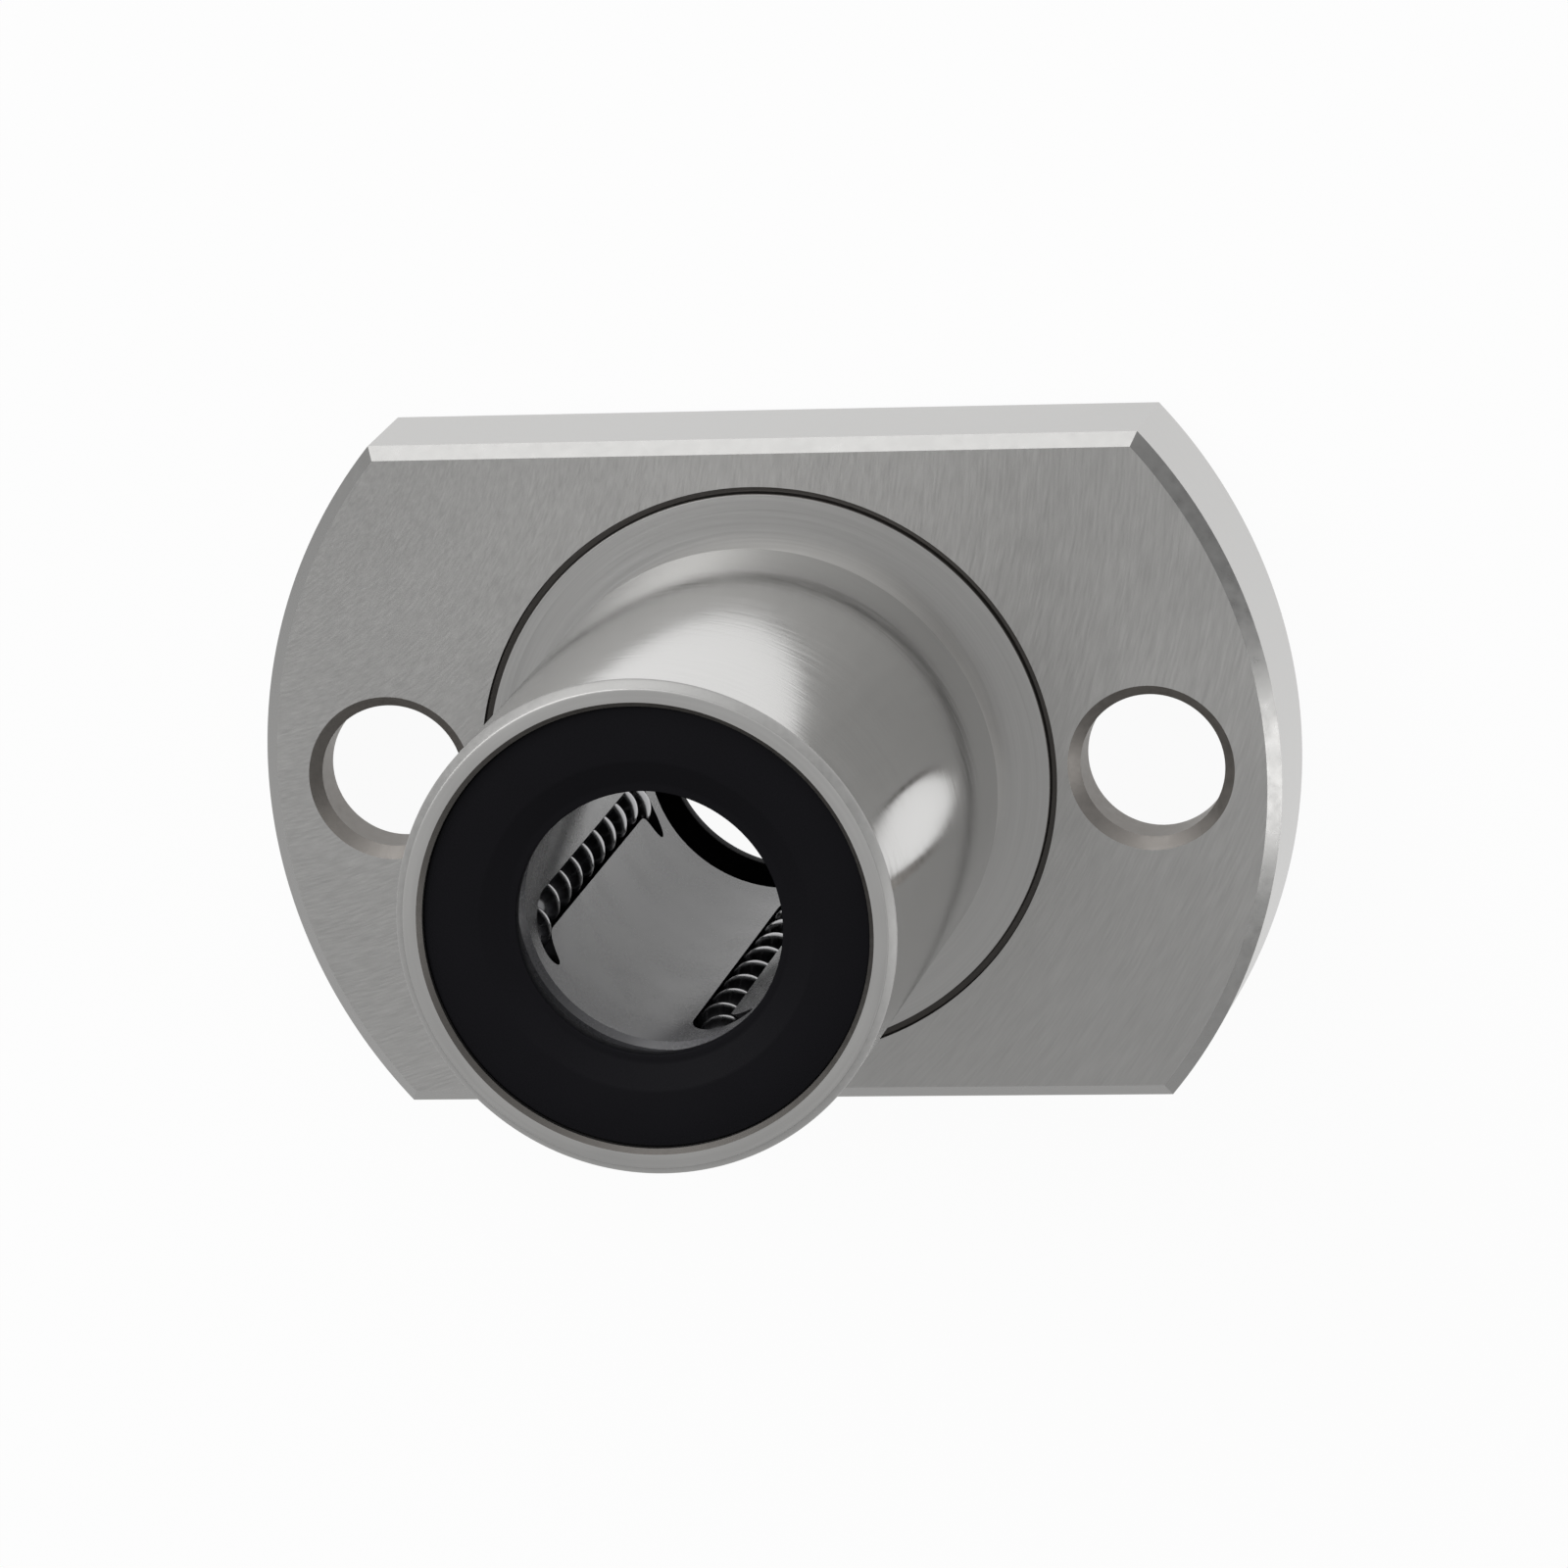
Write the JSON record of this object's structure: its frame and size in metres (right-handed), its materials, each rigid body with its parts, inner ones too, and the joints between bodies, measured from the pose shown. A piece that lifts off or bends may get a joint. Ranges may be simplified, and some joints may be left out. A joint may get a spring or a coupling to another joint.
{
  "type": "flanged linear bearing",
  "caption": "Linear ball bearing for an 8 mm shaft, with a tube and a flange that has two flats and two screw holes.",
  "frame": {"origin": "centre of the shaft bore in the plane of the flange's outer face, which the part stands on", "axes": "+Z along the shaft axis from the flange to the tube's nose; X through the two screw holes; Y square to the flats"},
  "size_m": [0.032, 0.021, 0.024],
  "materials": {
    "ground_steel": "ground and lightly polished",
    "cage_resin": "moulded, smooth",
    "seal_rubber": "matt",
    "ball_steel": "polished",
    "spring_steel": "bright drawn"
  },
  "bodies": {
    "bearing_housing": {"flanged_outer_cylinder": "ground_steel", "ball_cage": "cage_resin", "nose_end_seal": "seal_rubber", "flange_end_seal": "seal_rubber", "nose_stop_ring": "spring_steel", "flange_stop_ring": "spring_steel"},
    "circuit_1_load_row": {"circuit_1_load_row_balls": "ball_steel"},
    "circuit_1_return_row": {"circuit_1_return_row_balls": "ball_steel"},
    "circuit_1_nose_turn": {"circuit_1_nose_turn_balls": "ball_steel"},
    "circuit_1_flange_turn": {"circuit_1_flange_turn_balls": "ball_steel"},
    "circuit_2_load_row": {"circuit_2_load_row_balls": "ball_steel"},
    "circuit_2_return_row": {"circuit_2_return_row_balls": "ball_steel"},
    "circuit_2_nose_turn": {"circuit_2_nose_turn_balls": "ball_steel"},
    "circuit_2_flange_turn": {"circuit_2_flange_turn_balls": "ball_steel"},
    "circuit_3_load_row": {"circuit_3_load_row_balls": "ball_steel"},
    "circuit_3_return_row": {"circuit_3_return_row_balls": "ball_steel"},
    "circuit_3_nose_turn": {"circuit_3_nose_turn_balls": "ball_steel"},
    "circuit_3_flange_turn": {"circuit_3_flange_turn_balls": "ball_steel"},
    "circuit_4_load_row": {"circuit_4_load_row_balls": "ball_steel"},
    "circuit_4_return_row": {"circuit_4_return_row_balls": "ball_steel"},
    "circuit_4_nose_turn": {"circuit_4_nose_turn_balls": "ball_steel"},
    "circuit_4_flange_turn": {"circuit_4_flange_turn_balls": "ball_steel"}
  },
  "joints": [
    {"name": "circuit_1_load_slide", "type": "slide", "parent": "bearing_housing", "child": "circuit_1_load_row", "axis": [0, 0, 1], "range_m": [-0.00082, 0.00082]},
    {"name": "circuit_1_return_slide", "type": "slide", "parent": "bearing_housing", "child": "circuit_1_return_row", "axis": [0, 0, 1], "range_m": [-0.00082, 0.00082]},
    {"name": "circuit_1_nose_turn_hinge", "type": "hinge", "parent": "bearing_housing", "child": "circuit_1_nose_turn", "pos_m": [0.00452, 0.00198, 0.01857], "axis": [0.9848, 0.1736, 0], "range_deg": [-45, 45]},
    {"name": "circuit_1_flange_turn_hinge", "type": "hinge", "parent": "bearing_housing", "child": "circuit_1_flange_turn", "pos_m": [0.00452, 0.00198, 0.00543], "axis": [0.9848, 0.1736, 0], "range_deg": [-45, 45]},
    {"name": "circuit_2_load_slide", "type": "slide", "parent": "bearing_housing", "child": "circuit_2_load_row", "axis": [0, 0, 1], "range_m": [-0.00082, 0.00082]},
    {"name": "circuit_2_return_slide", "type": "slide", "parent": "bearing_housing", "child": "circuit_2_return_row", "axis": [0, 0, 1], "range_m": [-0.00082, 0.00082]},
    {"name": "circuit_2_nose_turn_hinge", "type": "hinge", "parent": "bearing_housing", "child": "circuit_2_nose_turn", "pos_m": [-0.00198, 0.00452, 0.01857], "axis": [-0.1736, 0.9848, 0], "range_deg": [-45, 45]},
    {"name": "circuit_2_flange_turn_hinge", "type": "hinge", "parent": "bearing_housing", "child": "circuit_2_flange_turn", "pos_m": [-0.00198, 0.00452, 0.00543], "axis": [-0.1736, 0.9848, 0], "range_deg": [-45, 45]},
    {"name": "circuit_3_load_slide", "type": "slide", "parent": "bearing_housing", "child": "circuit_3_load_row", "axis": [0, 0, 1], "range_m": [-0.00082, 0.00082]},
    {"name": "circuit_3_return_slide", "type": "slide", "parent": "bearing_housing", "child": "circuit_3_return_row", "axis": [0, 0, 1], "range_m": [-0.00082, 0.00082]},
    {"name": "circuit_3_nose_turn_hinge", "type": "hinge", "parent": "bearing_housing", "child": "circuit_3_nose_turn", "pos_m": [-0.00452, -0.00198, 0.01857], "axis": [-0.9848, -0.1736, 0], "range_deg": [-45, 45]},
    {"name": "circuit_3_flange_turn_hinge", "type": "hinge", "parent": "bearing_housing", "child": "circuit_3_flange_turn", "pos_m": [-0.00452, -0.00198, 0.00543], "axis": [-0.9848, -0.1736, 0], "range_deg": [-45, 45]},
    {"name": "circuit_4_load_slide", "type": "slide", "parent": "bearing_housing", "child": "circuit_4_load_row", "axis": [0, 0, 1], "range_m": [-0.00082, 0.00082]},
    {"name": "circuit_4_return_slide", "type": "slide", "parent": "bearing_housing", "child": "circuit_4_return_row", "axis": [0, 0, 1], "range_m": [-0.00082, 0.00082]},
    {"name": "circuit_4_nose_turn_hinge", "type": "hinge", "parent": "bearing_housing", "child": "circuit_4_nose_turn", "pos_m": [0.00198, -0.00452, 0.01857], "axis": [0.1736, -0.9848, 0], "range_deg": [-45, 45]},
    {"name": "circuit_4_flange_turn_hinge", "type": "hinge", "parent": "bearing_housing", "child": "circuit_4_flange_turn", "pos_m": [0.00198, -0.00452, 0.00543], "axis": [0.1736, -0.9848, 0], "range_deg": [-45, 45]}
  ],
  "couplings": [
    {"joint": "circuit_1_return_slide", "follows": "circuit_1_load_slide", "ratio": -1},
    {"joint": "circuit_1_nose_turn_hinge", "follows": "circuit_1_load_slide", "rad_per_m": -956.34},
    {"joint": "circuit_1_flange_turn_hinge", "follows": "circuit_1_load_slide", "rad_per_m": -956.34},
    {"joint": "circuit_2_return_slide", "follows": "circuit_2_load_slide", "ratio": -1},
    {"joint": "circuit_2_nose_turn_hinge", "follows": "circuit_2_load_slide", "rad_per_m": -956.34},
    {"joint": "circuit_2_flange_turn_hinge", "follows": "circuit_2_load_slide", "rad_per_m": -956.34},
    {"joint": "circuit_3_return_slide", "follows": "circuit_3_load_slide", "ratio": -1},
    {"joint": "circuit_3_nose_turn_hinge", "follows": "circuit_3_load_slide", "rad_per_m": -956.34},
    {"joint": "circuit_3_flange_turn_hinge", "follows": "circuit_3_load_slide", "rad_per_m": -956.34},
    {"joint": "circuit_4_return_slide", "follows": "circuit_4_load_slide", "ratio": -1},
    {"joint": "circuit_4_nose_turn_hinge", "follows": "circuit_4_load_slide", "rad_per_m": -956.34},
    {"joint": "circuit_4_flange_turn_hinge", "follows": "circuit_4_load_slide", "rad_per_m": -956.34}
  ]
}
